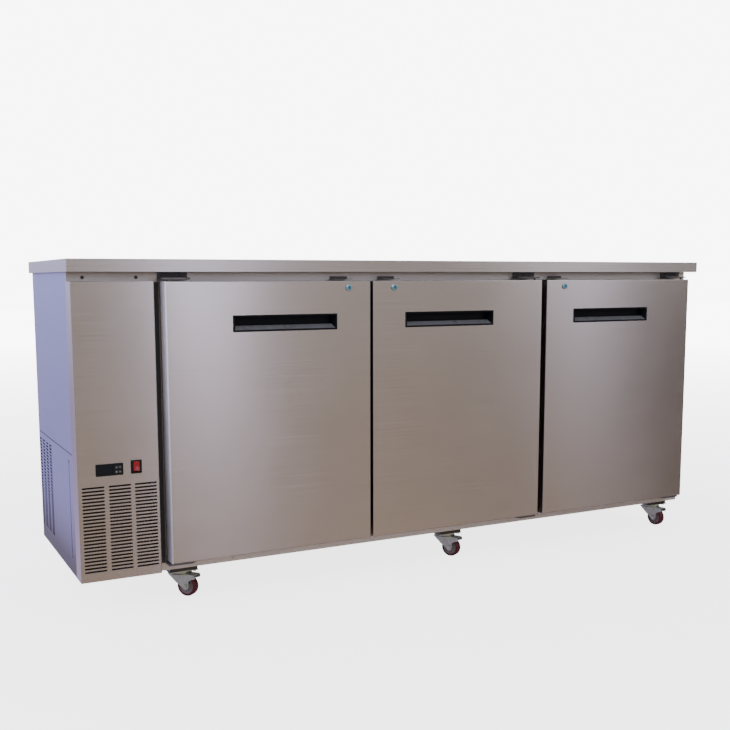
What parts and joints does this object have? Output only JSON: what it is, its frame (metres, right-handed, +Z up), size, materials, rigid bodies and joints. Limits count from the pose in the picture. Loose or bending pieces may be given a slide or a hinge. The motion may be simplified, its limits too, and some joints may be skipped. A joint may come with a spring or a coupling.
{
  "type": "under counter fridge",
  "caption": "Long low stainless steel undercounter fridge with hinged solid doors, pocket handles, key locks, side machine compartment and swivel casters.",
  "frame": {"origin": "centre of the footprint at floor level, where the wheels touch", "axes": "+Z up, +X to the right along the body, -Y out of the doors towards the user"},
  "size_m": [2.296, 0.636, 1.012],
  "materials": {
    "brushed_front": "satin",
    "side_steel": "satin",
    "galvanised": "satin",
    "zinc": "satin",
    "lock_chrome": "polished",
    "foam": "matte",
    "liner_steel": "satin",
    "door_lining": "satin",
    "gasket": "matte",
    "handle_black": "satin",
    "control_black": "gloss",
    "key_cap": "satin",
    "rocker_red": "gloss",
    "compressor_black": "gloss",
    "fins": "satin",
    "copper": "satin",
    "motor": "satin",
    "fan_blade": "matte",
    "box_grey": "matte",
    "hinge_dark": "satin",
    "wheel_red": "satin"
  },
  "bodies": {
    "cabinet": {"worktop": "brushed_front", "face_frame": "brushed_front", "outer_shell": "side_steel", "foam_panels": "foam", "inner_liner": "liner_steel", "machine_front_panel": "brushed_front", "side_access_panel": "side_steel", "rear_grille": "galvanised", "machine_tray": "galvanised", "compressor": "compressor_black", "condenser_coil": "fins", "fan_motors": "motor", "refrigerant_lines": "copper", "electrical_box": "box_grey", "controller": "control_black", "switch_bezel": "control_black", "evaporator_coil": "fins", "evaporator_cover": "liner_steel", "shelf_supports": "galvanised", "wire_shelves": "zinc", "hinge_brackets": "hinge_dark", "caster_plates": "zinc"},
    "door_1": {"door_1": "brushed_front", "door_1_core": "foam", "door_1_liner": "door_lining", "door_1_gasket": "gasket", "door_1_handle": "handle_black"},
    "lock_1": {"lock_1": "lock_chrome"},
    "door_2": {"door_2": "brushed_front", "door_2_core": "foam", "door_2_liner": "door_lining", "door_2_gasket": "gasket", "door_2_handle": "handle_black"},
    "lock_2": {"lock_2": "lock_chrome"},
    "door_3": {"door_3": "brushed_front", "door_3_core": "foam", "door_3_liner": "door_lining", "door_3_gasket": "gasket", "door_3_handle": "handle_black"},
    "lock_3": {"lock_3": "lock_chrome"},
    "rocker": {"rocker": "rocker_red"},
    "controller_key_1": {"controller_key_1": "key_cap"},
    "controller_key_2": {"controller_key_2": "key_cap"},
    "controller_key_3": {"controller_key_3": "key_cap"},
    "controller_key_4": {"controller_key_4": "key_cap"},
    "condenser_fan": {"condenser_fan": "fan_blade"},
    "evaporator_fan_1": {"evaporator_fan_1": "fan_blade"},
    "evaporator_fan_2": {"evaporator_fan_2": "fan_blade"},
    "caster_fork_1": {"caster_fork_1": "zinc"},
    "caster_wheel_1": {"caster_wheel_1": "wheel_red"},
    "caster_fork_2": {"caster_fork_2": "zinc"},
    "caster_wheel_2": {"caster_wheel_2": "wheel_red"},
    "caster_fork_3": {"caster_fork_3": "zinc"},
    "caster_wheel_3": {"caster_wheel_3": "wheel_red"},
    "caster_fork_4": {"caster_fork_4": "zinc"},
    "caster_wheel_4": {"caster_wheel_4": "wheel_red"},
    "caster_fork_5": {"caster_fork_5": "zinc"},
    "caster_wheel_5": {"caster_wheel_5": "wheel_red"},
    "caster_fork_6": {"caster_fork_6": "zinc"},
    "caster_wheel_6": {"caster_wheel_6": "wheel_red"}
  },
  "joints": [
    {"name": "door_1_hinge", "type": "hinge", "parent": "cabinet", "child": "door_1", "pos_m": [-0.8705, -0.284, 0.543], "axis": [0, 0, -1], "range_deg": [0, 95], "stiffness_Nm_per_rad": 0.8, "springref_deg": -20.05},
    {"name": "lock_1_turn", "type": "hinge", "parent": "door_1", "child": "lock_1", "pos_m": [-0.3075, -0.302, 0.9285], "axis": [0, 1, 0], "range_deg": [0, 90]},
    {"name": "door_2_hinge", "type": "hinge", "parent": "cabinet", "child": "door_2", "pos_m": [0.4145, -0.284, 0.543], "axis": [0, 0, 1], "range_deg": [0, 95], "stiffness_Nm_per_rad": 0.8, "springref_deg": -20.05},
    {"name": "lock_2_turn", "type": "hinge", "parent": "door_2", "child": "lock_2", "pos_m": [-0.1485, -0.302, 0.9285], "axis": [0, -1, 0], "range_deg": [0, 90]},
    {"name": "door_3_hinge", "type": "hinge", "parent": "cabinet", "child": "door_3", "pos_m": [1.0855, -0.284, 0.543], "axis": [0, 0, 1], "range_deg": [0, 95], "stiffness_Nm_per_rad": 0.8, "springref_deg": -20.05},
    {"name": "lock_3_turn", "type": "hinge", "parent": "door_3", "child": "lock_3", "pos_m": [0.5225, -0.302, 0.9285], "axis": [0, -1, 0], "range_deg": [0, 90]},
    {"name": "rocker_tilt", "type": "hinge", "parent": "cabinet", "child": "rocker", "pos_m": [-0.9746, -0.29, 0.431], "axis": [1, 0, 0], "range_deg": [0, 16]},
    {"name": "key_1_press", "type": "slide", "parent": "cabinet", "child": "controller_key_1", "axis": [0, 1, 0], "range_m": [0, 0.0006], "stiffness_N_per_m": 400, "springref_m": -0.0004},
    {"name": "key_2_press", "type": "slide", "parent": "cabinet", "child": "controller_key_2", "axis": [0, 1, 0], "range_m": [0, 0.0006], "stiffness_N_per_m": 400, "springref_m": -0.0004},
    {"name": "key_3_press", "type": "slide", "parent": "cabinet", "child": "controller_key_3", "axis": [0, 1, 0], "range_m": [0, 0.0006], "stiffness_N_per_m": 400, "springref_m": -0.0004},
    {"name": "key_4_press", "type": "slide", "parent": "cabinet", "child": "controller_key_4", "axis": [0, 1, 0], "range_m": [0, 0.0006], "stiffness_N_per_m": 400, "springref_m": -0.0004},
    {"name": "condenser_fan_spin", "type": "hinge", "parent": "cabinet", "child": "condenser_fan", "pos_m": [-1.024, -0.169, 0.255], "axis": [0, 1, 0], "continuous": true},
    {"name": "evaporator_fan_1_spin", "type": "hinge", "parent": "cabinet", "child": "evaporator_fan_1", "pos_m": [-0.799, -0.077, 0.76], "axis": [1, 0, 0], "continuous": true},
    {"name": "evaporator_fan_2_spin", "type": "hinge", "parent": "cabinet", "child": "evaporator_fan_2", "pos_m": [-0.799, 0.138, 0.76], "axis": [1, 0, 0], "continuous": true},
    {"name": "caster_1_swivel", "type": "hinge", "parent": "cabinet", "child": "caster_fork_1", "pos_m": [-0.819, -0.18, 0.09], "axis": [0, 0, 1], "continuous": true},
    {"name": "caster_1_roll", "type": "hinge", "parent": "caster_fork_1", "child": "caster_wheel_1", "pos_m": [-0.80293, -0.19915, 0.032], "axis": [0.766, 0.6428, 0], "continuous": true},
    {"name": "caster_2_swivel", "type": "hinge", "parent": "cabinet", "child": "caster_fork_2", "pos_m": [0.129, -0.18, 0.09], "axis": [0, 0, 1], "continuous": true},
    {"name": "caster_2_roll", "type": "hinge", "parent": "caster_fork_2", "child": "caster_wheel_2", "pos_m": [0.14074, -0.20207, 0.032], "axis": [0.8829, 0.4695, 0], "continuous": true},
    {"name": "caster_3_swivel", "type": "hinge", "parent": "cabinet", "child": "caster_fork_3", "pos_m": [1.077, -0.18, 0.09], "axis": [0, 0, 1], "continuous": true},
    {"name": "caster_3_roll", "type": "hinge", "parent": "caster_fork_3", "child": "caster_wheel_3", "pos_m": [1.08134, -0.20462, 0.032], "axis": [0.9848, 0.1736, 0], "continuous": true},
    {"name": "caster_4_swivel", "type": "hinge", "parent": "cabinet", "child": "caster_fork_4", "pos_m": [-0.819, 0.238, 0.09], "axis": [0, 0, 1], "continuous": true},
    {"name": "caster_4_roll", "type": "hinge", "parent": "caster_fork_4", "child": "caster_wheel_4", "pos_m": [-0.79852, 0.22366, 0.032], "axis": [0.5736, 0.8192, 0], "continuous": true},
    {"name": "caster_5_swivel", "type": "hinge", "parent": "cabinet", "child": "caster_fork_5", "pos_m": [0.129, 0.238, 0.09], "axis": [0, 0, 1], "continuous": true},
    {"name": "caster_5_roll", "type": "hinge", "parent": "caster_fork_5", "child": "caster_wheel_5", "pos_m": [0.12045, 0.21451, 0.032], "axis": [0.9397, -0.342, 0], "continuous": true},
    {"name": "caster_6_swivel", "type": "hinge", "parent": "cabinet", "child": "caster_fork_6", "pos_m": [1.077, 0.238, 0.09], "axis": [0, 0, 1], "continuous": true},
    {"name": "caster_6_roll", "type": "hinge", "parent": "caster_fork_6", "child": "caster_wheel_6", "pos_m": [1.0895, 0.21635, 0.032], "axis": [0.866, 0.5, 0], "continuous": true}
  ]
}
